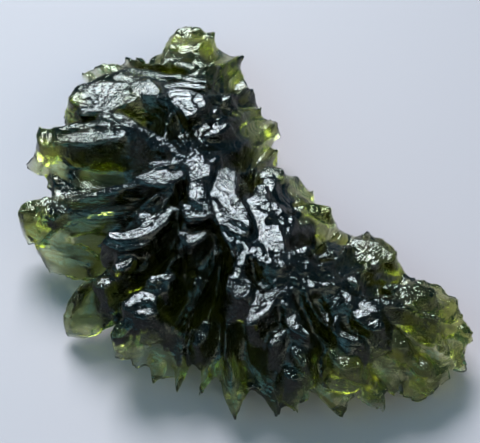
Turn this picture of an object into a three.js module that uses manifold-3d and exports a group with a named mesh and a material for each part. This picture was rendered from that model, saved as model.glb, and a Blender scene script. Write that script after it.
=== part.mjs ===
// A hedgehog moldavite: one piece of green natural glass, etched into blade-like ribs that fan out
// on both sides of a bent crest line. Millimetres, +Z up, the origin on the resting plane.
import * as THREE from "three";
import { mergeVertices } from "three/addons/utils/BufferGeometryUtils.js";
import Module from "manifold-3d";

const wasm = await Module();
wasm.setup();

// The crest line: x, y and height, from the narrow lobe round the bend to the broad tip.
const CREST_LINE = [
  [-5.5, 25, 6.2],
  [-5.6, 21.6, 7.4],
  [-5.6, 19.4, 7.2],
  [-5.6, 17.2, 8.6],
  [-5.7, 15.2, 8],
  [-5.6, 10.6, 10.4],
  [-5.5, 8.4, 9],
  [-5.2, 4.6, 10.4],
  [-4.6, 0.8, 12.4],
  [-2.6, -3.5, 12],
  [0.6, -7.5, 11.4],
  [4.4, -10.8, 10.8],
  [8.4, -12, 9.8],
  [12.4, -12.7, 8.4],
  [16.5, -13, 6.6],
  [19, -12.8, 4.8],
];
const KEEL_HEIGHT = 2; // height of the underside below the crest line

// The ribs of the left side and the front, from the narrow lobe's end to the broad tip. root: how far
// along the crest line a rib starts. path: its edge from there to its top tooth. teeth: its middle and
// its low tooth, how far out from the top one and how high. thick: half its thickness at its foot.
// groove: the hollow between it and the next rib.
const FRONT_RIBS = [
  { root: 1, path: [[-5.9, 29.2, 5]], teeth: [[0.3, 3.6], [-0.6, 2]], groove: { depth: 0.6, reach: 0.99 } },
  {
    root: 2.4,
    path: [[-7.2, 25.4, 6.4], [-8, 27.2, 5]],
    teeth: [[0.2, 3.4], [-0.8, 1.8]],
    groove: { depth: 0.8, reach: 0.97 },
  },
  {
    root: 4.4,
    path: [[-7.6, 21.6, 7], [-9, 24, 4.8]],
    teeth: [[0.2, 3], [-1, 1.4]],
    groove: { depth: 1.5, reach: 0.94 },
  },
  { root: 6.4, path: [[-8, 19.2, 8], [-10.4, 20.8, 7.4], [-12.8, 22.4, 6]], teeth: [[-0.2, 4], [-1, 2]] },
  {
    root: 7.4,
    sunk: 1.5,
    path: [[-9, 18.3, 5], [-15.4, 23.9, 3.2]],
    teeth: [[0.1, 2.4], [-0.8, 1.2]],
    groove: { depth: 0.8 },
  },
  { root: 8, sunk: 1.5, path: [[-10, 17.6, 4.6], [-17.9, 24, 2.4]], teeth: [[0.1, 1.8], [-1, 1]] },
  {
    root: 9.2,
    path: [[-9.1, 17.4, 8.8], [-12.3, 17.6, 8.8], [-14.9, 16.8, 8.6], [-17.9, 14.8, 8]],
    teeth: [[0.5, 5], [-1, 2]],
    groove: { depth: 0.3, reach: 1 },
  },
  {
    root: 14.6,
    path: [[-7.6, 11.6, 10.4], [-9.6, 12.2, 10], [-12.4, 11, 9.4], [-15.2, 10.8, 8.4], [-17.9, 11.9, 7]],
    teeth: [[0.4, 4.5], [-1.4, 1.2]],
    groove: { depth: 5, reach: 0.8 },
    rests: true,
  },
  {
    root: 22.6,
    path: [[-7.3, 4.4, 11.5], [-10.2, 7.7, 10.5], [-12.5, 9.6, 9.8], [-15, 9.7, 9], [-20.5, 10.1, 8]],
    teeth: [[-0.3, 5.5], [-1.6, 2]],
    groove: { depth: 0.5, reach: 0.98 },
  },
  {
    root: 23.4,
    path: [[-7.8, 3.6, 11.2], [-10.5, 6.8, 10], [-13.6, 6.7, 9], [-17.7, 7.5, 8], [-20.1, 7.6, 7]],
    teeth: [[1.8, 4.5], [-0.4, 1.5]],
    groove: { depth: 6, reach: 0.84 },
  },
  {
    root: 24.6,
    path: [[-9.1, 0.2, 11.5], [-11.4, -0.8, 10.5], [-16.1, -0.8, 9], [-20.9, -0.8, 7.5]],
    teeth: [[-0.2, 4.6], [-1.6, 2.4]],
    groove: { depth: 0.4, reach: 1 },
  },
  {
    root: 25,
    sunk: 1.4,
    path: [[-10.4, -2.2, 7.4], [-15, -2.7, 6.4], [-20.5, -2, 4.5]],
    teeth: [[-18.6, -3.6, 1.6], [-14.9, -4.4, 0.9]],
    groove: { depth: 1.6, reach: 0.86 },
    rests: true,
  },
  {
    root: 25.4,
    path: [[-8, -2.3, 11.2], [-10.8, -3.5, 9.8]],
    teeth: [[-0.2, 5], [-0.4, 2]],
    groove: { depth: 1.4 },
  },
  {
    root: 26,
    path: [[-7.6, -4.4, 11.2], [-10, -5.9, 10.3], [-12.8, -6.1, 9]],
    teeth: [[-0.3, 5.5], [-0.6, 2.4]],
    thick: 2,
    groove: { depth: 3, lie: 0.6 },
  },
  {
    root: 27.4,
    sunk: 3,
    path: [[-8.3, -7.6, 8.4], [-11.4, -8.3, 7.6], [-13.7, -8.2, 7.1], [-15.7, -10, 5.8]],
    teeth: [[-16.4, -11.3, 2.4], [-14.3, -11, 1.5]],
    thick: 1,
    groove: { depth: 4.4, reach: 0.82, lie: 0.4 },
  },
  {
    root: 28.4,
    sunk: 1,
    path: [[-5.6, -8.2, 10.6], [-7, -11, 9.5], [-8.2, -13.2, 8.2], [-11.3, -14.3, 5.5]],
    teeth: [[-0.4, 3], [-1.6, 1.2]],
    groove: { depth: 2.5 },
    thick: 1.6,
  },
  {
    root: 29.6,
    sunk: 4,
    path: [[-5.2, -10.4, 7], [-7.4, -12.9, 4.8], [-9.7, -15, 2.6]],
    teeth: [[0, 2], [-1, 1.2]],
    groove: { depth: 1.4 },
  },
  {
    root: 30.8,
    sunk: 3,
    path: [[-4, -10.4, 8.4], [-5.9, -13.6, 6], [-7.8, -16.5, 2.2]],
    teeth: [[0, 1.6], [-1, 0.8]],
    groove: { depth: 1.8 },
  },
  {
    root: 31.8,
    path: [[-2.2, -9.2, 11], [-4.2, -13, 9], [-5.6, -17.2, 2.4]],
    teeth: [[0.1, 1.6], [-1.2, 0.8]],
    groove: { depth: 3.5, reach: 0.74 },
  },
  {
    root: 33,
    sunk: 3,
    path: [[-1.6, -10.4, 7.2], [-2.6, -14, 4.2], [-3.5, -17.6, 1.6]],
    teeth: [[0, 1.2], [-1, 0.7]],
    groove: { depth: 1.6, reach: 0.86 },
  },
  {
    root: 34.2,
    path: [[-0.7, -11, 10.6], [-1.3, -14.4, 8.4], [-0.9, -17.3, 5.4], [-0.5, -19.7, 2.2]],
    teeth: [[0.1, 1.4], [-1.2, 0.7]],
  },
  {
    root: 36,
    path: [[1.5, -12.3, 10.6], [1.8, -14.4, 9.4], [2.5, -16.9, 6.5], [3.2, -19.4, 2]],
    teeth: [[0, 1.3], [-1.2, 0.7]],
    groove: { depth: 1.5, reach: 0.98 },
  },
  {
    root: 37.8,
    path: [[3.8, -13.6, 10.5], [5.2, -16.6, 7.5], [5.1, -17.8, 4.8], [4.9, -19.4, 2]],
    teeth: [[0, 1.3], [-1, 0.7]],
    groove: { depth: 3, reach: 0.8 },
  },
  {
    root: 40,
    path: [[5.4, -14.5, 9.2], [6.9, -17.2, 6.2], [8.9, -19.9, 2]],
    teeth: [[0, 1.4], [-1.2, 0.7]],
    rests: true,
  },
  {
    root: 42.4,
    path: [[7.9, -15.6, 9.5], [9.7, -17.4, 7.5], [11.3, -18.3, 5], [12.7, -19.3, 2.2]],
    teeth: [[0, 1.5], [-1.2, 0.8]],
    groove: { depth: 1.6, reach: 0.92 },
  },
  {
    root: 44.6,
    path: [[10.6, -13.9, 9.5], [12, -14.7, 8.5], [13, -16, 6], [13.9, -17.9, 2.6]],
    teeth: [[0, 1.8], [-1, 0.9]],
    groove: { depth: 2.4, reach: 0.9 },
  },
  {
    root: 47.4,
    path: [[13.4, -14.5, 7.6], [15.6, -16.4, 5.2], [16.7, -17.8, 3]],
    teeth: [[0, 2], [-1, 1]],
    groove: { depth: 1.6, reach: 0.93 },
    rests: true,
  },
  {
    root: 50.4,
    path: [[17, -14.4, 6.5], [20.1, -15.4, 3.4]],
    teeth: [[0.1, 2.4], [-1, 1.2]],
    groove: { depth: 1.2, reach: 0.97 },
  },
  { root: 53, path: [[20.9, -12.4, 4.5]], teeth: [[0, 3], [-1, 1.6]] },
];

// The ribs of the long back, from the broad tip to the narrow lobe's end.
const BACK_RIBS = [
  { root: 52.6, path: [[20.8, -12.2, 4.3]], teeth: [[0, 3], [-1, 1.6]], groove: { depth: 0.8, reach: 0.99 } },
  {
    root: 51,
    path: [[17.4, -11.3, 7], [19.6, -9, 5]],
    teeth: [[0, 3], [-1, 1.6]],
    groove: { depth: 1, reach: 0.99 },
  },
  {
    root: 48.4,
    path: [[14.7, -10.9, 7.6], [17.3, -7.4, 5.5]],
    teeth: [[0, 3], [-1, 1.4]],
    groove: { depth: 2.2, reach: 0.9 },
    rests: true,
  },
  {
    root: 45.4,
    path: [[11.3, -8.9, 9], [13.3, -6, 7.5], [14.9, -3.9, 6]],
    teeth: [[0, 3.6], [-1.2, 1.4]],
    groove: { depth: 1.6, reach: 0.99 },
  },
  {
    root: 42.6,
    path: [[9, -7.1, 9], [12.2, -1.6, 5.5]],
    teeth: [[0.1, 3], [-1, 1.2]],
    thick: 1.7,
    groove: { depth: 3.4, reach: 0.96 },
  },
  {
    root: 40.2,
    path: [[7.3, -6.8, 8.4], [10.1, -0.5, 4.6]],
    teeth: [[0, 3], [-1, 1.4]],
    thick: 0.9,
    groove: { depth: 2, reach: 0.95 },
  },
  {
    root: 37.8,
    path: [[5.2, -4.7, 9.2], [8.6, 1.2, 6]],
    teeth: [[0, 3.4], [-1.2, 1.4]],
    thick: 1.8,
    groove: { depth: 2.4, reach: 0.95 },
  },
  {
    root: 35.2,
    path: [[4.1, -2.9, 9.6], [7.3, 3.4, 5.8]],
    teeth: [[0.1, 3], [-1, 1.2]],
    thick: 2,
    groove: { depth: 0.8, reach: 1.01 },
  },
  { root: 32.4, path: [[2.2, -1.1, 10], [5.5, 5.3, 6]], teeth: [[0.1, 3], [-1, 1.2]], rests: true },
  {
    root: 29,
    path: [[0.5, 2.4, 9.6], [3.8, 9.1, 5.6]],
    teeth: [[0.1, 3.2], [-1, 1.4]],
    thick: 1,
    groove: { depth: 3.6, reach: 0.93 },
  },
  {
    root: 24,
    path: [[-0.6, 6.4, 8.2], [2.1, 11.1, 6.3], [4.1, 13.6, 5.2]],
    teeth: [[0.1, 3], [-1.2, 1.4]],
    thick: 1.8,
    groove: { depth: 1, reach: 0.98 },
  },
  {
    root: 18.6,
    path: [[-3.4, 7.4, 9.8], [-1.3, 9.6, 9.6], [2.1, 15, 6]],
    teeth: [[0, 3.4], [-1, 1.6]],
    groove: { depth: 1.6, reach: 0.96 },
  },
  {
    root: 13.6,
    path: [[-3.4, 12, 10.2], [-1.5, 13.6, 9.2], [1.8, 17.4, 6.4]],
    teeth: [[0, 3.8], [-1, 2]],
    groove: { depth: 2.4, reach: 0.9 },
    rests: true,
  },
  {
    root: 7,
    path: [[-3.6, 18.4, 8.4], [-2.2, 19.2, 8], [0.4, 23, 6]],
    teeth: [[0, 3.6], [-1, 1.8]],
    groove: { depth: 1.6, reach: 0.88 },
  },
  {
    root: 2.8,
    path: [[-3.4, 24.6, 6.8], [-3, 27.3, 5.6]],
    teeth: [[0.2, 3.8], [-0.8, 2]],
    groove: { depth: 0.6, reach: 0.97 },
  },
  { root: 1.4, path: [[-6, 28.9, 4.8]], teeth: [[0.3, 3.6], [-0.6, 2]] },
];

// Deeper hollows that cross the ribs: a point, half the length, width and depth, and the long way's turn
// from +X in degrees.
const HOLLOWS = [
  // Along the narrow lobe
  { at: [-5.3, 20.2, 8.6], size: [2.6, 0.9, 1.8], turn: -5 },
  { at: [-5.2, 15.6, 9.6], size: [2.8, 1, 2], turn: -8 },
  { at: [-5.8, 8.1, 11], size: [2.8, 1.6, 2.6], turn: 62 },
  { at: [-2.2, 15.9, 9.2], size: [1.9, 0.9, 1.8], turn: 62 },
  // Beside the bend
  { at: [0.7, -2.2, 11.8], size: [4.4, 1.1, 2.9], turn: -80 },
  { at: [2.8, 0.4, 10.2], size: [3, 1.1, 2.4], turn: -58 },
  { at: [4.6, -7.2, 11], size: [2.6, 0.9, 2], turn: -35 },
  { at: [-7.8, -1, 12], size: [2.2, 0.8, 2.6], turn: 8 },
  { at: [-3.4, -7.4, 11.6], size: [3.2, 1.5, 3.4], turn: 58 },
  // Across the front
  { at: [0.9, -11.3, 11.4], size: [2.5, 0.9, 2.8], turn: 78 },
  { at: [7.1, -13.4, 11], size: [2.6, 0.9, 3], turn: -62 },
  { at: [11.9, -15.1, 9.2], size: [2, 0.9, 2.2], turn: -48 },
  { at: [14.6, -13.9, 8.2], size: [2.2, 0.8, 1.6], turn: -20 },
];

// The ribs
const RIB_THICK = 1.3; // half the thickness at the foot of a rib
const RIB_TAPER = 0.45; // share of it that is lost towards the rib's end
const RIB_FOOT = 0.7; // height of a rib's underside
const FOOT_SPREAD = 0.4; // how far the ribs' undersides differ from it
const RESTING_FOOT = -1.4; // the same on the ribs that bear the stone, before they are worn flat
const SCALLOP = 0.2; // how far the edge between two teeth is hollowed, as a share of their spacing
const NOTCH = 0.35; // how far a rib's edge rises and falls along its length
const NOTCH_TURN = 2.3; // radians of that wave from one point of the edge to the next

// The grooves between them
// depth: below the ribs' edges. reach: share of their length. lie: where it runs, from one rib to the next.
const GROOVE = { depth: 3, reach: 0.86, lie: 0.5 };
const GROOVE_START = 0.1; // share of the depth that a groove has at the crest line
const GROOVE_RUN = 0.55; // share of a rib's edge over which it reaches the whole depth
const GROOVE_UNDER = 2.3; // how far the underside rises between two ribs
const UNDER_FALL = 0.7; // share of that rise that is gone under the crest line
const RIM_LEAST = 1; // least thickness of the glass at a groove's end
const FLANK_DROP = 0.74; // how much of a groove's depth is reached at a rib's foot
const RIM_DROP = 0.5; // how far a foot's end lies inside the rib's end

// The stone as a whole
const OVERLAP = 0.6; // how far each side runs on past the crest line, into the other one
const BURIED_RISE = 0.4; // how far its wall there stays above the underside
const BURIED_DROP = 0.8; // and below the crest
const WANDER = 0.22; // how far the glass strays from its regular form
const FLOOR = [100, 100, 10]; // what the stone is worn flat against

// The facets
const CREST_STEPS = 9; // along a rib's edge, from its root to its top tooth
const TOOTH_STEPS = 2; // from one tooth down to the next
const UNDER_STEPS = 4; // along the underside
const EDGE_END = CREST_STEPS + 2 * TOOTH_STEPS; // the last point of the toothed edge
const BURIED_POINTS = 2;
const LOOP_LENGTH = EDGE_END + 1 + UNDER_STEPS + BURIED_POINTS;
const HOLLOW_FACETS = [9, 6]; // round a hollow and from its top to its bottom

// A curve through points given as x, y and height.
function curveThrough(points, tension) {
  return new THREE.CatmullRomCurve3(
    points.map((p) => new THREE.Vector3(...p)),
    false,
    "catmullrom",
    tension,
  );
}

const crestLine = curveThrough(CREST_LINE, 0.3);
const crestLength = crestLine.getLength();

// A closed geometry as a manifold-3d solid.
function solidOf(geometry) {
  const bare = geometry.clone();
  bare.deleteAttribute("normal");
  bare.deleteAttribute("uv");
  const merged = mergeVertices(bare, 1e-4);
  return new wasm.Manifold(
    new wasm.Mesh({
      numProp: 3,
      vertProperties: new Float32Array(merged.getAttribute("position").array),
      triVerts: new Uint32Array(merged.index.array),
    }),
  );
}

function geometryOf(solid) {
  const { vertProperties, triVerts } = solid.getMesh();
  return new THREE.BufferGeometry()
    .setAttribute("position", new THREE.BufferAttribute(vertProperties, 3))
    .setIndex(new THREE.BufferAttribute(triVerts, 1));
}

// The hollow edge from one tooth to the next: its deepest point and the next tooth.
function hollowEdge(tooth, next, inward) {
  const deepest = tooth.clone().lerp(next, 0.5).addScaledVector(inward, SCALLOP * tooth.distanceTo(next));
  return [deepest, next];
}

// A tooth's place, given as x, y and height or as how far out from the tip it is and its height.
function toothAt(tooth, tip, ahead) {
  if (tooth.length === 3) return new THREE.Vector3(...tooth);
  const [out, height] = tooth;
  return tip.clone().addScaledVector(ahead, out).setZ(height);
}

// A rib's outline in its own upright plane, a closed loop: along its edge to the top tooth, down over
// the other teeth, back along the underside and up inside the stone.
function ribSection({ root, path, teeth, sunk = 0, rests = false, thick = RIB_THICK }, hand) {
  const share = root / crestLength;
  const start = crestLine.getPointAt(share);
  start.z -= sunk;
  const edge = curveThrough([start, ...path], 0.35);
  const crest = edge.getSpacedPoints(CREST_STEPS);
  for (let i = 1; i < CREST_STEPS; i++) crest[i].z += NOTCH * Math.sin(NOTCH_TURN * i + 3 * root);
  const tip = crest.at(-1);
  const ahead = tip.clone().sub(crest.at(-3)).setZ(0).normalize();
  const inward = ahead.clone().negate();
  const [middle, low] = teeth.map((tooth) => toothAt(tooth, tip, ahead));
  const keel = start.clone().setZ(KEEL_HEIGHT);
  const foot = rests ? RESTING_FOOT : RIB_FOOT + FOOT_SPREAD * Math.sin(5 * root);
  const dip = low.clone().lerp(keel, 0.5).setZ(2 * foot - (low.z + keel.z) / 2);
  const underside = new THREE.QuadraticBezierCurve3(low, dip, keel).getPoints(UNDER_STEPS).slice(1);
  const along = crestLine.getTangentAt(share);
  const across = new THREE.Vector3(-along.y, along.x, 0).setLength(hand * OVERLAP);
  const buried = [keel, start].map((p) => p.clone().add(across));
  buried[0].z += BURIED_RISE;
  buried[1].z -= BURIED_DROP;
  const toothed = [...hollowEdge(tip, middle, inward), ...hollowEdge(middle, low, inward)];
  return { points: [...crest, ...toothed, ...underside, ...buried], root: start, thick };
}

// The groove between two ribs, point for point.
function grooveSection(rib, next, { depth, reach, lie }) {
  const root = rib.root.clone().lerp(next.root, 0.5);
  const points = rib.points.map((p, i) => {
    const point = p.clone().lerp(next.points[i], lie);
    if (i > EDGE_END + UNDER_STEPS) return point;
    point.x = root.x + (point.x - root.x) * reach;
    point.y = root.y + (point.y - root.y) * reach;
    return point;
  });
  const rimBottom = points[EDGE_END].z + GROOVE_UNDER;
  for (let i = 0; i <= CREST_STEPS; i++) {
    const run = THREE.MathUtils.smoothstep(i / CREST_STEPS, 0, GROOVE_RUN);
    const drop = depth * THREE.MathUtils.lerp(GROOVE_START, 1, run);
    points[i].z = Math.max(points[i].z - drop, rimBottom + RIM_LEAST);
  }
  for (let i = CREST_STEPS + 1; i <= EDGE_END; i++) {
    const down = (i - CREST_STEPS) / (EDGE_END - CREST_STEPS);
    points[i].z = THREE.MathUtils.lerp(points[CREST_STEPS].z, rimBottom, down);
  }
  for (let i = 1; i <= UNDER_STEPS; i++) {
    points[EDGE_END + i].z += GROOVE_UNDER * (1 - (UNDER_FALL * i) / UNDER_STEPS);
  }
  return { points };
}

// A rib's foot, between its edge and the groove beside it: the flank falls steeply to here.
function footSection(rib, groove) {
  const points = rib.points.map((p, i) => {
    const away = groove.points[i].clone().sub(p).setZ(0);
    const ahead = p.clone().sub(rib.root).setZ(0).normalize();
    const inward = ahead.clone().multiplyScalar(away.dot(ahead));
    const aside = away.clone().sub(inward);
    const taper = 1 - RIB_TAPER * Math.min(i / CREST_STEPS, 1) ** 3;
    const share = Math.min(0.5, (rib.thick * taper) / Math.max(aside.length(), 1e-3));
    const point = p.clone().addScaledVector(aside, share).addScaledVector(inward, RIM_DROP);
    point.z = THREE.MathUtils.lerp(p.z, groove.points[i].z, FLANK_DROP);
    return point;
  });
  return { points };
}

// Lets a point stray a little, the same way wherever two sections share it.
function strayed(point) {
  const { x, y, z } = point;
  return new THREE.Vector3(
    x + WANDER * Math.sin(1.7 * y + 0.9 * z + 1),
    y + WANDER * Math.sin(1.5 * x - 1.1 * z + 2),
    z + WANDER * Math.sin(1.1 * x + 1.3 * y) * THREE.MathUtils.smoothstep(z, 1, 3),
  );
}

// One side of the stone: a sphere whose circles of latitude become the sections, in turn. hand is 1 for
// the side on the crest line's right and -1 for the one on its left.
function side(ribs, hand) {
  const sections = [];
  ribs.forEach((spec, i) => {
    const rib = ribSection(spec, hand);
    sections.push(rib);
    if (i === ribs.length - 1) return;
    const next = ribSection(ribs[i + 1], hand);
    const groove = grooveSection(rib, next, { ...GROOVE, ...spec.groove });
    sections.push(footSection(rib, groove), groove, footSection(next, groove));
  });
  const middleOf = ({ points }) =>
    points.reduce((sum, p) => sum.add(p), new THREE.Vector3()).divideScalar(points.length);
  const ends = [sections[0], sections.at(-1)].map(middleOf);
  const sphere = new THREE.SphereGeometry(1, LOOP_LENGTH, sections.length + 1);
  const position = sphere.getAttribute("position");
  for (let i = 0; i < position.count; i++) {
    const row = Math.floor(i / (LOOP_LENGTH + 1)) - 1;
    const column = (LOOP_LENGTH - (i % (LOOP_LENGTH + 1))) % LOOP_LENGTH;
    const section = sections[row];
    const point = strayed(section ? section.points[column] : ends[row < 0 ? 0 : 1]);
    position.setXYZ(i, point.x, point.y, point.z);
  }
  return sphere;
}

// A hollow etched into the surface: an ellipsoid round a point of it, its long axis turned about Z.
function hollow({ at, size, turn }) {
  const ball = new THREE.SphereGeometry(1, ...HOLLOW_FACETS).scale(...size);
  return ball.rotateZ(THREE.MathUtils.degToRad(turn)).translate(...at);
}

// The stone: both sides in one solid, hollowed, and worn flat where it rests. It is glass right through,
// so of the bodies that this leaves only the outer one counts, not the slits shut in where the sides meet.
const floor = new THREE.BoxGeometry(...FLOOR).translate(0, 0, -FLOOR[2] / 2);
let stone = solidOf(side(FRONT_RIBS, 1)).add(solidOf(side(BACK_RIBS, -1)));
for (const spec of HOLLOWS) stone = stone.subtract(solidOf(hollow(spec)));
stone = stone.subtract(solidOf(floor));
stone = stone.decompose().reduce((outer, body) => (body.volume() > outer.volume() ? body : outer));

const glass = new THREE.MeshStandardMaterial({ color: 0x2c3a12, roughness: 0.12, metalness: 0 });
const moldavite = new THREE.Mesh(geometryOf(stone), glass);
moldavite.name = "moldavite";
moldavite.geometry.computeBoundingBox();
const middle = moldavite.geometry.boundingBox.getCenter(new THREE.Vector3());
moldavite.position.set(-middle.x, -middle.y, 0);

const group = new THREE.Group();
group.add(moldavite);
export default group;
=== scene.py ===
import math
import random

import bmesh
import bpy
import numpy as np
from mathutils import Euler, Matrix, Vector, noise
from mathutils.bvhtree import BVHTree


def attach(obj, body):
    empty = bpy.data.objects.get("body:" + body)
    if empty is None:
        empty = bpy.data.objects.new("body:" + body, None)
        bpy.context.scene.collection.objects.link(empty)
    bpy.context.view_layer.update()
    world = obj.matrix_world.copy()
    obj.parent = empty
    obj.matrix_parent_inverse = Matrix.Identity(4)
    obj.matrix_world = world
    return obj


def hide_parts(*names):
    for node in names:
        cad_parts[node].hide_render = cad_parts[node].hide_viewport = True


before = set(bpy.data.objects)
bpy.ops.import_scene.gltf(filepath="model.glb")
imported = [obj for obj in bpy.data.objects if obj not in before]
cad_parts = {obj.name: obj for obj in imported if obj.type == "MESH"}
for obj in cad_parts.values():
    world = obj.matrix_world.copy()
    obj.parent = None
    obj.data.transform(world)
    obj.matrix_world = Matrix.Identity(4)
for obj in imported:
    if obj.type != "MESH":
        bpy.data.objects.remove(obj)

scene = bpy.context.scene
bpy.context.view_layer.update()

# ---- The camera ----
# The viewer looks down at the stone from the front, a little over two stone lengths away. The stone's
# ledges and lobes are placed by where they are seen from here, so the camera comes first.
MM = 0.001  # metres
VIEW_TARGET = Vector((0.449, -4.907, 5)) * MM
VIEW_DISTANCE = 107 * MM
VIEW_ELEVATION = math.radians(50)
IMAGE_WIDTH = 480  # pixels
IMAGE_HEIGHT = 443
FOCAL_PIXELS = 1108

camera_data = bpy.data.cameras.new("viewer")
camera_data.sensor_width = 36  # mm
camera_data.lens = camera_data.sensor_width * FOCAL_PIXELS / IMAGE_WIDTH
camera_data.clip_start = 5 * MM
camera_data.clip_end = 5  # metres
camera = bpy.data.objects.new("viewer", camera_data)
to_viewer = Vector((0, -math.cos(VIEW_ELEVATION), math.sin(VIEW_ELEVATION)))
camera.location = VIEW_TARGET + VIEW_DISTANCE * to_viewer
camera.rotation_euler = (math.pi / 2 - VIEW_ELEVATION, 0, 0)
scene.collection.objects.link(camera)
scene.camera = camera

# ---- The etched stone ----
# One piece of natural glass, solid right through. Water in the soil has etched it into ribs that stay
# sharp, ledges that are nearly level and round-bottomed hollows. It starts as a copy of the CAD solid,
# worked on in mm. Its narrow lobe ends in the knob, and its highest part is the hub.
stone_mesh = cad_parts["moldavite"].data.copy()
stone_mesh.transform(Matrix.Scale(1 / MM, 4))
stone = bpy.data.objects.new("etched_stone", stone_mesh)
scene.collection.objects.link(stone)


def seen_at(across, down, height):
    """The point at that height (mm) which the camera sees so many pixels across and down its view."""
    right = (across - IMAGE_WIDTH / 2) / FOCAL_PIXELS
    low = (down - IMAGE_HEIGHT / 2) / FOCAL_PIXELS
    ray = Vector((right, -low, -1))
    ray.rotate(camera.rotation_euler)
    eye = camera.location / MM
    return eye + ray * (height - eye.z) / ray.z


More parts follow.
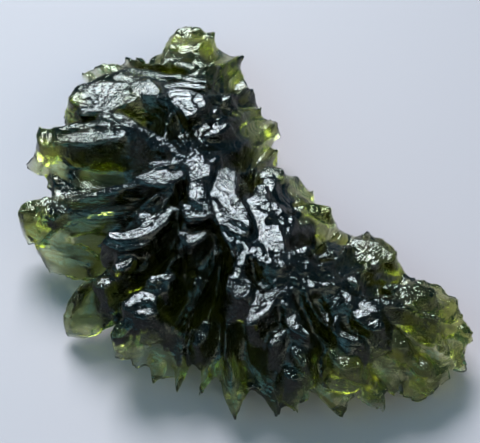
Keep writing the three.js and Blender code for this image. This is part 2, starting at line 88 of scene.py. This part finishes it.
# Ledges that the etching left on the ribs' shoulders, nearly level on top, so that they catch the light:
# half the width (mm), and points along the middle of the top, each so many pixels across and down the
# view, and its height. The ribs on the left are the broad, the thick, the long and two comb ribs, from
# the back to the front.
LEDGES = {
    "knob ridge 3": (0.5, [(176, 62, 8.2), (192, 66, 8.2), (210, 68, 7.8)]),
    "knob ridge 4": (0.5, [(170, 84, 9.6), (188, 84, 9.7), (204, 88, 9.6)]),
    "broad rib back": (0.5, [(112, 74, 8.4), (130, 70, 8.6), (150, 72, 9)]),
    "left valley line": (0.25, [(216, 264, 8.2), (200, 288, 6.7), (184, 312, 5.9),
        (168, 334, 5.2)]),
    "front line": (0.28, [(265, 268, 10.9), (270, 275, 10.75), (277, 283, 10.6)]),
    "front line low": (0.16, [(280, 288, 10.3), (293, 287, 10.25), (307, 288, 10.1)]),
    "front knot": (0.3, [(280, 300, 10.2), (284, 302, 10.15), (287, 306, 10.1)]),
    "long rib tip": (0.8, [(28, 206, 7), (44, 203, 7.5), (62, 207, 7.9)]),
    "long rib tip low": (0.5, [(36, 216, 6.8), (52, 219, 7.1)]),
    "hub": (1.1, [(197, 159, 12.4), (199, 170, 12.4), (201, 182, 12.3)]),
    "hub arm high": (0.3, [(197, 163, 12.4), (193, 154, 12.2), (190, 148, 12)]),
    "band 1": (1.3, [(227, 172, 11.6), (221, 186, 11.7), (223, 200, 11.75), (231, 214, 11.7),
        (242, 226, 11.6)]),
    "band 1 edge": (0.35, [(213, 202, 11.4), (219, 216, 11.5), (230, 227, 11.4), (244, 233, 11.3)]),
    "band 1 curl": (0.4, [(223, 231, 11.2), (230, 239, 11.2), (243, 243, 11.1)]),
    "band 2": (0.9, [(262, 188, 10.2), (258, 200, 10.5), (261, 213, 10.7), (267, 228, 10.8),
        (274, 242, 10.9), (279, 247, 10.9)]),
    "band 2 shoulder": (0.75, [(263, 206, 10.5), (272, 208, 10.4), (281, 215, 10.3)]),
    "crescent": (0.6, [(256, 250, 11.4), (265, 259, 11.4), (278, 263, 11.3), (292, 257, 11),
        (306, 249, 10.8)]),
    "hub arm right": (0.35, [(209, 161, 12.3), (218, 156, 12)]),
    "hub arm left": (0.35, [(192, 167, 12.3), (182, 158, 12.1), (170, 146, 11.6), (152, 134, 11),
        (137, 126, 10.6)]),
    "below hub": (0.85, [(193, 188, 12.1), (203, 200, 12.1)]),
    "knot top": (0.5, [(184, 206, 11.7), (191, 215, 11.6), (203, 217, 11.6)]),
    "knot right": (0.4, [(204, 203, 11.9), (210, 214, 11.7)]),
    "knot low": (0.55, [(182, 233, 11.1), (191, 240, 10.9), (203, 234, 11)]),
    "hook": (0.4, [(270, 223, 10.4), (281, 222, 10.2), (291, 219, 9.9), (286, 234, 10.1)]),
    "crescent foot": (0.7, [(299, 263, 10.7), (309, 266, 10.5)]),
    "stripe 1": (0.2, [(310, 270, 10.4), (315, 275, 10.3), (320, 280, 10.2)]),
    "stripe 2": (0.42, [(302, 279, 10.2), (312, 285, 10.1), (328, 284, 9.9)]),
    "front rib 2 top": (0.4, [(243, 252, 11.3), (238, 272, 11.15)]),
    "front rib 2 side": (0.6, [(242, 276, 11), (246, 290, 10.85)]),
    "front rib 2 middle": (0.6, [(238, 274, 11.1), (231, 285, 10.95)]),
    "front rib 2 low": (0.75, [(233, 287, 10.85), (246, 294, 10.7)]),
    "front rib 1": (0.7, [(273, 294, 10.5), (251, 320, 10.2)]),
    "front rib 1 side": (0.4, [(270, 300, 10.35), (259, 315, 10.2)]),
    "front rib 1 spur": (0.25, [(275, 291, 10.45), (283, 292, 10.4), (289, 296, 10.3)]),
    "front rib 3": (0.55, [(281, 333, 9), (272, 343, 8.7)]),
    "front rib 4": (0.42, [(287, 318, 9.5), (296, 327, 9.4), (308, 334, 9.3)]),
    "front rib 5": (0.5, [(294, 344, 8.4), (304, 362, 8.1)]),
    "front rib 5 low": (0.6, [(288, 369, 7), (298, 377, 6.6)]),
    "front rib 6 top": (0.5, [(333, 351, 8.3), (349, 355, 8.2)]),
    "front rib 6": (0.7, [(336, 356, 8.1), (345, 362, 8), (355, 362, 7.9)]),
    "front rib 7": (0.45, [(341, 331, 9), (352, 339, 8.9), (361, 342, 8.8)]),
    "front rib 8 top": (1.1, [(361, 313, 9.6), (374, 312, 9.5)]),
    "front rib 8 low": (0.6, [(368, 324, 9.3), (381, 325, 9.2)]),
    "front rib 9": (0.4, [(346, 292, 9.9), (350, 303, 9.8)]),
    "front rib 10": (0.25, [(351, 277, 9.7), (358, 284, 9.6)]),
    "tip ridge 1": (0.4, [(375, 300, 9.5), (400, 305, 9.2)]),
    "tip ridge 2": (0.28, [(400, 305, 9.2), (415, 310, 8.9), (437, 318, 8.4)]),
    "tip facet": (1.1, [(408, 293, 8), (428, 293, 7.6)]),
    "tip 1": (0.6, [(396, 337, 7.3), (405, 346, 7)]),
    "tip 2": (0.55, [(420, 358, 5.4), (427, 367, 5.2)]),
    "back streak": (0.4, [(386, 286, 8), (402, 288, 7.6)]),
    "back facet": (1, [(357, 244, 7.4), (372, 250, 7.4), (388, 256, 7.3)]),
    "back facet low": (0.6, [(366, 256, 7.6), (376, 261, 7.4)]),
    "back small": (0.4, [(323, 256, 9), (333, 253, 8.8)]),
    "second lobe top": (0.7, [(296, 208, 7.6), (312, 208, 7.3), (327, 210, 7)]),
    "pale lobe top": (0.95, [(266, 174, 8.4), (278, 172, 8.1)]),
    "pale lobe low": (0.7, [(267, 180, 8.6), (270, 188, 8.7)]),
    "left rib 1": (0.65, [(151, 280, 9.4), (162, 280, 9.5), (171, 275, 9.6)]),
    "left rib 1 low": (0.35, [(161, 287, 9), (166, 291, 8.9)]),
    "left rib 2": (1.2, [(131, 303, 8.5), (148, 300, 8.7)]),
    "left rib 2 low": (0.65, [(136, 313, 8.2), (153, 311, 8.4)]),
    "left rib 2 foot": (0.7, [(127, 322, 7.4), (116, 335, 6.2)]),
    "left valley": (0.55, [(206, 322, 7.2), (202, 333, 6.9), (197, 342, 6.6)]),
    "left rib 3": (0.7, [(117, 267, 8.6), (129, 259, 8.8)]),
    "left rib 4": (0.6, [(97, 283, 7.4), (109, 281, 7.6)]),
    "comb rib 1 low": (0.65, [(108, 241, 9.5), (122, 243, 9.6), (140, 240, 9.8), (155, 230, 10)]),
    "comb rib 1 high": (0.65, [(112, 235, 9.9), (130, 236, 10), (148, 229, 10.3),
        (165, 219, 10.6)]),
    "comb rib 2 low": (0.4, [(139, 219, 10.2), (152, 219, 10.3), (166, 214, 10.5),
        (175, 207, 10.6)]),
    "comb rib 2 high": (0.4, [(138, 215, 10.3), (148, 214, 10.4)]),
    "long rib top": (0.4, [(151, 163, 11.3), (166, 162, 11.5), (182, 161, 11.8)]),
    "long rib middle": (0.6, [(139, 178, 11), (152, 175, 11.2), (166, 173, 11.4)]),
    "long rib low": (0.6, [(148, 182, 11), (166, 181, 11.3), (182, 173, 11.7)]),
    "long rib ridge": (0.3, [(62, 200, 8.3), (80, 197, 8.9), (104, 190, 9.8), (135, 183, 10.8)]),
    "long rib end": (0.95, [(47, 211, 7.4), (62, 210, 7.8)]),
    "broad rib top": (1.45, [(78, 97, 8.9), (100, 92, 9.2), (124, 88, 9.5)]),
    "broad rib middle": (1.45, [(86, 107, 8.9), (108, 101, 9.3), (132, 94, 9.7)]),
    "broad rib right": (1.1, [(138, 84, 9.9), (152, 90, 10.2)]),
    "broad rib crest": (0.6, [(102, 115, 9.7), (118, 117, 10), (134, 124, 10.4)]),
    "thick rib top": (0.85, [(50, 131, 8.5), (80, 130, 9), (108, 128, 9.6), (130, 125, 10)]),
    "thick rib middle": (0.95, [(60, 139, 8.4), (90, 137, 9), (120, 134, 9.7)]),
    "thick rib end": (0.85, [(42, 133, 7.8), (50, 142, 8)]),
    "knob facet": (1.25, [(174, 93, 10.9), (186, 99, 10.85), (191, 111, 10.8)]),
    "knob low": (0.7, [(199, 96, 10.8), (202, 106, 10.75)]),
    "streak": (0.5, [(207, 134, 10), (217, 130, 9.9), (227, 125, 9.8)]),
    "glint 1": (0.35, [(223, 100, 9.3), (230, 96, 9.2)]),
    "glint 2": (0.4, [(213, 112, 9.8), (217, 107, 9.7)]),
    "knob ridge 1": (0.35, [(166, 59, 7.9), (182, 58, 7.9)]),
    "knob ridge 2": (0.35, [(172, 75, 9.1), (190, 79, 9.1), (207, 82, 9)]),
    "knob head 1": (0.6, [(180, 30, 6.1), (198, 29, 6.1)]),
    "knob head 2": (0.6, [(172, 46, 6.6), (196, 48, 7)]),
}
LEDGE_FACING = Vector((-0.14, 0, 1)).normalized()  # their tops lean a little to the left
LEDGE_TILT = 0.07  # radians, how far one may tilt away from the others
LEDGE_SLOPE = 0.3  # how far a top follows its ledge up or down, instead of lying nearly level
LEDGE_END = 0.6  # the width at a ledge's ends, as a share of the width between them
LEDGE_DEPTH = 3
LEDGE_SPREAD = 0.8  # how much wider they are at that depth
LEDGE_CORNERS = 8
CORNER_STRAY = (0.85, 1.2)  # a corner's distance from the middle, as a share of the radius
chance = random.Random(7)

# Each ledge's stretches: start and end, half the width at each, and the directions along and up.
ledges = []
for half_width, route in LEDGES.values():
    spine = [seen_at(*point) for point in route]
    if len(spine) == 2:
        spine.insert(1, (spine[0] + spine[1]) / 2)
    widths = [half_width] * len(spine)
    widths[0] = widths[-1] = half_width * LEDGE_END
    tilt = Euler([chance.uniform(-LEDGE_TILT, LEDGE_TILT) for _ in range(3)]).to_matrix()
    stretches = []
    for i in range(len(spine) - 1):
        along = (spine[i + 1] - spine[i]).normalized()
        slope = along.cross(LEDGE_FACING.cross(along)).normalized()
        up = tilt @ LEDGE_FACING.lerp(slope, LEDGE_SLOPE).normalized()
        stretches.append((spine[i], spine[i + 1], widths[i], widths[i + 1], along, up))
    ledges.append(stretches)


def close_block(block, corners):
    """Makes the block the convex hull of those corners, and drops the ones inside it."""
    hull = bmesh.ops.convex_hull(block, input=corners)
    inside = {item for item in hull["geom_interior"] if isinstance(item, bmesh.types.BMVert)}
    bmesh.ops.delete(block, geom=list(inside), context="VERTS")


def shape_ledge(block, start, end, start_width, end_width, along, up):
    """One stretch of a ledge, with a flat top from start to end and steep, uneven sides."""
    across = up.cross(along).normalized()
    turned = Matrix((across.cross(up), across, up)).transposed().to_4x4()
    corners = []
    for point, half_width in ((start, start_width), (end, end_width)):
        turned.translation = point - up * LEDGE_DEPTH / 2
        post = bmesh.ops.create_cone(
            block,
            segments=LEDGE_CORNERS,
            radius1=half_width + LEDGE_SPREAD,
            radius2=half_width,
            depth=LEDGE_DEPTH,
        )
        for corner in post["verts"]:
            corner.co.xy *= chance.uniform(*CORNER_STRAY)
            corner.co = turned @ corner.co
        corners += post["verts"]
    close_block(block, corners)


# Lobes and broad teeth, whose outer faces run smoothly from the ribs' shoulders to their edges: the
# thickness (mm), and the corners of the upper face, given as a ledge's points are.
LOBES = {
    "blade": (1.5, [(98, 276, 5.4), (80, 285, 4.6), (67, 300, 3.8), (62, 317, 3), (65, 328, 2.2),
        (84, 331, 2), (104, 323, 2.8), (116, 314, 4), (118, 296, 6)]),
    "long rib end": (3, [(17, 213, 6), (21, 204, 6.4), (34, 198, 7), (58, 199, 7.8), (76, 206, 8.2),
        (66, 218, 7.6), (40, 226, 6), (23, 226, 5.4)]),
    "long rib foot": (1.6, [(33, 240, 4.8), (47, 260, 3.8), (74, 272, 3.4), (92, 272, 3.6),
        (104, 256, 4.8), (84, 242, 5.8), (56, 236, 5.8)]),
    "pale lobe": (1.6, [(262, 172, 8.2), (275, 169, 7.2), (288, 173, 6.4), (300, 184, 5.6),
        (311, 192, 5), (306, 205, 5.6), (290, 206, 6.8), (272, 192, 8.2)]),
    "second lobe": (1.6, [(293, 206, 7.5), (312, 203, 6.4), (328, 206, 5.6), (331, 215, 5.4),
        (325, 236, 6.5), (300, 225, 7.8)]),
    "olive lobe": (1.6, [(325, 240, 7.4), (350, 246, 7), (378, 262, 6.6), (385, 280, 7),
        (368, 282, 8), (340, 270, 8.6), (325, 255, 8.4)]),
    "back rim": (3.2, [(350, 243, 6.6), (362, 236, 5.8), (380, 237, 5), (395, 248, 4.6),
        (398, 262, 4.6), (403, 278, 4.8), (388, 284, 6.4), (375, 265, 6.8)]),
    "tip back": (1.6, [(402, 284, 6.6), (420, 279, 5.4), (440, 284, 4.8), (455, 305, 4.6),
        (462, 318, 4.4), (437, 316, 6.6), (410, 305, 7.6)]),
    "tip": (1.6, [(380, 322, 7.3), (400, 313, 7.3), (437, 324, 6), (466, 327, 3.5), (466, 345, 3),
        (463, 358, 2.5), (445, 370, 2.8), (440, 380, 2.2), (420, 396, 1.2), (400, 385, 2),
        (392, 360, 4.5), (385, 340, 6.5)]),
    "right tooth": (1.6, [(310, 342, 7), (330, 345, 7.3), (360, 364, 6.6), (356, 390, 3),
        (340, 400, 1.8), (326, 388, 2.6), (306, 380, 3.4)]),
    "left tooth": (1.6, [(165, 318, 7.4), (175, 322, 7.4), (192, 343, 5.4), (186, 366, 2.8),
        (160, 372, 2.2), (140, 352, 3.6), (150, 325, 6.4)]),
    "middle tooth": (1.6, [(215, 340, 5.4), (240, 340, 5.8), (244, 372, 2.6), (234, 392, 1.4),
        (218, 372, 2.6), (208, 358, 4)]),
}


def shape_lobe(block, thickness, outline):
    """A plate with that upper face. The even mesh and the easing below round it off."""
    corners = [block.verts.new(seen_at(*point)) for point in outline]
    corners += [block.verts.new(corner.co - Vector((0, 0, thickness))) for corner in corners]
    close_block(block, corners)


WELD = 1e-4  # mm, between the CAD solid's points that are one
merged = bmesh.new()
merged.from_mesh(stone_mesh)
bmesh.ops.remove_doubles(merged, verts=merged.verts, dist=WELD)
blocks = [(shape_ledge, stretch) for stretches in ledges for stretch in stretches]
blocks += [(shape_lobe, lobe) for lobe in LOBES.values()]
for shape_block, sizes in blocks:
    block = bmesh.new()
    shape_block(block, *sizes)
    part = bpy.data.meshes.new("block")
    block.to_mesh(part)
    block.free()
    merged.from_mesh(part)
    bpy.data.meshes.remove(part)
merged.to_mesh(stone_mesh)
merged.free()

# An even mesh, which also makes one surface of the solid and the blocks that overlap it.
VOXEL = 0.26  # mm
even_mesh = stone.modifiers.new("even mesh", "REMESH")
even_mesh.mode = "VOXEL"
even_mesh.voxel_size = VOXEL
graph = bpy.context.evaluated_depsgraph_get()
evened = bpy.data.meshes.new_from_object(stone.evaluated_get(graph))
stone.modifiers.clear()
stone.data = evened

# The stone is what is joined to its highest point. The specks that the blocks leave inside and beside it
# are dropped.
whole = bmesh.new()
whole.from_mesh(stone.data)
joined = {max(whole.verts, key=lambda point: point.co.z)}
latest = set(joined)
while latest:
    latest = {edge.other_vert(point) for point in latest for edge in point.link_edges} - joined
    joined |= latest
specks = [point for point in whole.verts if point not in joined]
bmesh.ops.delete(whole, geom=specks, context="VERTS")
whole.to_mesh(stone.data)
glass_above = BVHTree.FromBMesh(whole)
whole.free()

# The water got at the underside too, and the glass over these places is thin: the middle, in pixels
# across and down the view, how far it reaches, and how much glass is left over it (mm).
THIN_PLACES = {
    "long rib": (90, 218, 5, 2.8),
    "thick rib end": (52, 165, 3, 3),
    "thick rib": (110, 160, 4, 5.5),
    "broad rib": (142, 112, 3, 5),
    "broad rib end": (75, 108, 3.5, 2.4),
    "flange": (255, 132, 4.5, 1.7),
    "pale lobe": (290, 190, 3.5, 1.4),
    "second lobe": (318, 226, 3.5, 2),
    "tip": (425, 338, 5.5, 3.3),
    "tip front": (410, 375, 3.5, 2.2),
    "tip end": (455, 350, 3, 1.4),
    "right tooth": (325, 375, 3.5, 2.4),
    "right tooth side": (380, 370, 3, 2.6),
    "left tooth": (150, 355, 3.5, 2.4),
    "middle tooth": (225, 365, 3, 2.6),
    "knob": (185, 40, 3.5, 2.4),
    "knob side": (225, 75, 3, 2.4),
    "blade side": (118, 345, 2.5, 2.4),
}
THIN_HEIGHT = 4.5  # of those middles
THIN_MIDDLE = 1.6  # how steeply a place deepens from its edge: past 1, its middle is an even thickness
RESTING = 0.25  # points that are lower than this stay, for the stone to rest on
UNDER_FACING = 0.1  # the most that the normal of an underside points up
RAY_START = Vector((0, 0, 0.02))  # clear of the underside
PULL = 0.5  # how far each round of smoothing moves a point towards its neighbours' middle
CALM_ROUNDS = 12
CALM_FACING = 0.25  # faces that are steeper than this aren't smoothed


def points_of(mesh):
    points = np.empty(len(mesh.vertices) * 3)
    mesh.vertices.foreach_get("co", points)
    return points.reshape(-1, 3)


def normals_of(mesh):
    normals = np.empty(len(mesh.vertices) * 3)
    mesh.vertices.foreach_get("normal", normals)
    return normals.reshape(-1, 3)


def set_points(mesh, points):
    mesh.vertices.foreach_set("co", points.ravel())
    mesh.update()


def middles(points, edges):
    """The middle of each point's neighbours."""
    count = np.bincount(edges.ravel(), minlength=len(points))
    total = np.stack(
        [
            np.bincount(edges[:, 0], points[edges[:, 1], k], len(points))
            + np.bincount(edges[:, 1], points[edges[:, 0], k], len(points))
            for k in range(3)
        ],
        axis=1,
    )
    return total / np.maximum(count, 1)[:, None]


points = points_of(stone.data)
normals = normals_of(stone.data)
edges = np.empty(len(stone.data.edges) * 2, int)
stone.data.edges.foreach_get("vertices", edges)
edges = edges.reshape(-1, 2)

thinned = []  # how much glass is left at each place, and each point's share of the thinning there
for across, down, reach, left in THIN_PLACES.values():
    middle = seen_at(across, down, THIN_HEIGHT).xy
    away = np.linalg.norm(points[:, :2] - np.array(middle), axis=1) / reach
    thinned.append((left, np.clip(THIN_MIDDLE * (1 - away**2), 0, 1)))
calm = np.max([share for _, share in thinned], axis=0)

for i in np.flatnonzero((normals[:, 2] < UNDER_FACING) & (points[:, 2] > RESTING)):
    hit, _, _, above = glass_above.ray_cast(Vector(points[i]) + RAY_START, Vector((0, 0, 1)))
    if hit is not None:
        points[i, 2] += max(0, *((above - left) * share[i] for left, share in thinned))
level_enough = np.abs(normals[:, 2]) > CALM_FACING
for _ in range(CALM_ROUNDS):
    points += (PULL * calm * level_enough)[:, None] * (middles(points, edges) - points)
set_points(stone.data, points)

# The hollows are eased, and what stands proud of the eased surface, the ridges, is sharpened.
EASE_ROUNDS = 3
RIDGE_GAIN = 0.5
normals = normals_of(stone.data)
eased = points
for _ in range(EASE_ROUNDS):
    eased = eased + PULL * (middles(eased, edges) - eased)
proud = np.einsum("ij,ij->i", points - eased, normals)
points = eased + normals * (np.maximum(proud, 0) * (1 + RIDGE_GAIN))[:, None]

# The glass is very finely layered, nearly level, and the layers etch into terraces. Wrinkles cross them.
# Both are fainter where the glass is thin.
WANDER = 0.12  # how far the whole surface strays, so that nothing is quite regular
WANDER_SIZE = 2.2  # mm, as all the sizes here, from one swell to the next
TERRACE = 0.8  # mm from one to the next
TERRACE_FLATNESS = 0.6
TERRACE_STRAY = 0.9  # how far a layer strays up and down
TERRACE_STRAY_SIZE = 3.5
PATCH_SIZE = 4  # of the patches where terraces are plainer or fainter
PATCH_MEAN = 0.55
PATCH_SWING = 0.9
WRINKLE = 0.05
WRINKLE_SIZE = 0.9
WRINKLE_FACING = 0.6  # they fade out on faces that turn downwards
CALM_SHARE = 0.8  # how much of both is lost where the glass is thinnest


def stray(points, size, seed):
    """Smooth noise from -1 to 1 at each point. Each use has a seed of its own."""
    return np.array([noise.noise(Vector(point) / size + Vector((seed, seed, seed))) for point in points])


points = points + WANDER * np.stack([stray(points, WANDER_SIZE, seed) for seed in (0, 10, 20)], axis=1)
layer_facing = np.array(LEDGE_FACING)
layer_height = points @ layer_facing + TERRACE_STRAY * stray(points, TERRACE_STRAY_SIZE, 40)
flatness = TERRACE_FLATNESS * np.clip(PATCH_MEAN + PATCH_SWING * stray(points, PATCH_SIZE, 60), 0, 1)
flatness *= 1 - CALM_SHARE * calm
turn = 2 * math.pi
step = -flatness * TERRACE / turn * np.sin(turn * layer_height / TERRACE)
points = points + step[:, None] * layer_facing
set_points(stone.data, points)
normals = normals_of(stone.data)
wrinkle = WRINKLE * (stray(points, WRINKLE_SIZE, 80) + stray(points, WRINKLE_SIZE / 2, 90) / 2)
wrinkle *= np.clip(normals[:, 2] + WRINKLE_FACING, 0, 1) * (1 - CALM_SHARE * calm)
points = points + wrinkle[:, None] * normals

# The ledges' tops are nearly flat again after that, with ragged edges.
TOP_FLATNESS = 0.85
TOP_REACH = 1  # mm above or below the ledge
TOP_EDGE = 0.22  # mm, over which a top ends
TOP_BLEND = 0.6  # mm, over which one stretch's top turns into the next
RAGGED = 0.25  # how much wider or narrower a top may be, as a share
RAGGED_SIZE = 0.9
LEAST_WEIGHT = 1e-6  # keeps points that no top reaches from a division by zero
ragged = 1 + RAGGED * stray(points, RAGGED_SIZE, 120)
for stretches in ledges:
    top_share = np.zeros(len(points))
    weights = np.full(len(points), LEAST_WEIGHT)
    moves = np.zeros(points.shape)
    for start, end, start_width, end_width, along, up in stretches:
        offset = points - np.array(start)
        length = (end - start).length
        run = np.clip(offset @ np.array(along), 0, length)
        half_width = start_width + (end_width - start_width) * run / length
        beside = np.linalg.norm((offset - run[:, None] * np.array(along))[:, :2], axis=1)
        above = (points - np.array((start + end) / 2)) @ np.array(up)
        share = np.clip((half_width * ragged + TOP_EDGE - beside) / TOP_EDGE, 0, 1)
        share *= (np.abs(above) < TOP_REACH) & (normals[:, 2] > 0)
        weight = share * np.exp(-((beside / TOP_BLEND) ** 2))
        moves -= (weight * above)[:, None] * np.array(up)
        weights += weight
        top_share = np.maximum(top_share, share)
    points += (TOP_FLATNESS * top_share / weights)[:, None] * moves
points[:, 2] = np.maximum(points[:, 2], 0)
set_points(stone.data, points)

stone.data.transform(Matrix.Scale(MM, 4))
for polygon in stone.data.polygons:
    polygon.use_smooth = True


def linear(hex_colour):
    """An sRGB hex colour as linear RGBA."""
    channels = [int(hex_colour[i : i + 2], 16) / 255 for i in (0, 2, 4)]
    return [c / 12.92 if c <= 0.04045 else ((c + 0.055) / 1.055) ** 2.4 for c in channels] + [1]


def add_node(tree, kind, settings, **links):
    """A node of that kind: its own and its sockets' settings by name, and the outputs that feed it."""
    node = tree.nodes.new(kind)
    for name, value in settings.items():
        if name in node.inputs:
            node.inputs[name].default_value = value
        else:
            setattr(node, name, value)
    for name, source in links.items():
        tree.links.new(source, node.inputs[name])
    return node


# Tektite glass, etched and never polished: clear, and nearly black-green where it is thick, olive where
# it is thin and pale along its edges. Fine etch pits and the ends of its layers make the reflections
# crinkled instead of mirror-bright, and more so on level faces, which the layers meet at a low angle.
GLASS_IOR = 1.49
GLASS_ROUGHNESS = 0.055
GLASS_TINT = "dddfa6"  # it takes out blue first, then red
GLASS_DENSITY = 1200  # per metre
PIT = 0.34  # mm across, coarser than real etch pits, so that they show
PIT_DEPTH = 0.075
LAYER = 0.38  # mm between the layers' ends, also coarser than the real ones
LAYER_DEPTH = 0.034
WAVE_AT_ONE = 0.314  # a wave texture's length at scale 1
STEEP = 0.3  # normals that point up less than this show no layers
LEVEL = 0.85  # and those that point up more show them in full

glass = bpy.data.materials.new("moldavite_natural_glass")
glass.use_nodes = True
tree = glass.node_tree
surface = tree.nodes["Principled BSDF"]
surface.inputs["Base Color"].default_value = (1, 1, 1, 1)
surface.inputs["Transmission Weight"].default_value = 1
surface.inputs["IOR"].default_value = GLASS_IOR
surface.inputs["Roughness"].default_value = GLASS_ROUGHNESS
tint = add_node(
    tree,
    "ShaderNodeVolumeAbsorption",
    {"Color": linear(GLASS_TINT), "Density": GLASS_DENSITY},
)
tree.links.new(tint.outputs["Volume"], tree.nodes["Material Output"].inputs["Volume"])

where = add_node(tree, "ShaderNodeTexCoord", {})
pits = add_node(
    tree,
    "ShaderNodeTexNoise",
    {"Scale": 1 / (PIT * MM), "Detail": 2, "Roughness": 0.6, "Distortion": 0.8},
    Vector=where.outputs["Object"],
)
pitted = add_node(
    tree,
    "ShaderNodeBump",
    {"Strength": 1, "Distance": PIT_DEPTH * MM},
    Height=pits.outputs["Fac"],
)
layers = add_node(
    tree,
    "ShaderNodeTexWave",
    {
        "bands_direction": "Z",
        "Scale": WAVE_AT_ONE / (LAYER * MM),
        "Distortion": 9,
        "Detail": 2,
        "Detail Scale": 0.6,
        "Detail Roughness": 0.6,
    },
    Vector=where.outputs["Object"],
)
upward = add_node(tree, "ShaderNodeSeparateXYZ", {}, Vector=where.outputs["Normal"])
level = add_node(
    tree,
    "ShaderNodeMapRange",
    {"interpolation_type": "SMOOTHSTEP", "From Min": STEEP, "From Max": LEVEL},
    Value=upward.outputs["Z"],
)
layered = add_node(
    tree,
    "ShaderNodeBump",
    {"Distance": LAYER_DEPTH * MM},
    Strength=level.outputs["Result"],
    Height=layers.outputs["Fac"],
    Normal=pitted.outputs["Normal"],
)
tree.links.new(layered.outputs["Normal"], surface.inputs["Normal"])

stone.data.materials.clear()
stone.data.materials.append(glass)
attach(stone, "root")
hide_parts("moldavite")

# ---- The floor ----
# A plain sheet of matt paper, far larger than the stone that lies on it. It is pale, so that the thin
# glass shows its colour against it, and it gives no reflection.
FLOOR_HALF = 1  # metres
FLOOR_COLOUR = "998e90"
FLOOR_ROUGHNESS = 0.6

floor_mesh = bpy.data.meshes.new("floor")
sheet = bmesh.new()
bmesh.ops.create_grid(sheet, x_segments=1, y_segments=1, size=FLOOR_HALF)
sheet.to_mesh(floor_mesh)
sheet.free()
floor = bpy.data.objects.new("floor", floor_mesh)
scene.collection.objects.link(floor)
paper = bpy.data.materials.new("matt_paper")
paper.use_nodes = True
paper_surface = paper.node_tree.nodes["Principled BSDF"]
paper_surface.inputs["Base Color"].default_value = linear(FLOOR_COLOUR)
paper_surface.inputs["Roughness"].default_value = FLOOR_ROUGHNESS
floor_mesh.materials.append(paper)

# ---- The lights ----
# A room with blue-grey daylight all round. A window behind the stone gives the bright facets. In front,
# a large card on the right lifts the darkest hollows, and a patch of sky on the left gives the dark
# faces their blue-green sheen.
ROOM_COLOUR = "78b0cc"
ROOM_STRENGTH = 0.75
PANEL_DISTANCE = 2  # metres

room = bpy.data.worlds.new("studio")
room.use_nodes = True
background = room.node_tree.nodes["Background"]
background.inputs["Color"].default_value = linear(ROOM_COLOUR)
background.inputs["Strength"].default_value = ROOM_STRENGTH
scene.world = room


def add_panel(name, azimuth, elevation, width, height, radiance, colour):
    """A soft light that faces the stone: its azimuth is from straight behind, towards the right."""
    towards = Vector((0, 1, 0))
    towards.rotate(Euler((math.radians(elevation), 0, 0)))
    towards.rotate(Euler((0, 0, -math.radians(azimuth))))
    light = bpy.data.lights.new(name, "AREA")
    light.shape = "RECTANGLE"
    light.size, light.size_y = width, height
    light.energy = radiance * math.pi * width * height
    light.color = linear(colour)[:3]
    panel = bpy.data.objects.new(name, light)
    panel.location = towards * PANEL_DISTANCE
    panel.rotation_euler = towards.to_track_quat("Z", "Y").to_euler()
    scene.collection.objects.link(panel)


add_panel("card", 150, 30, width=2.4, height=1.2, radiance=3, colour="fff8df")
add_panel("sky", -130, 35, width=2.4, height=1.6, radiance=2.2, colour="aaedff")
add_panel("window", -14, 48, width=1.1, height=0.85, radiance=27, colour="f0f9ff")

scene.view_settings.view_transform = "Standard"
scene.view_settings.gamma = 0.8  # below 1 it deepens the darks
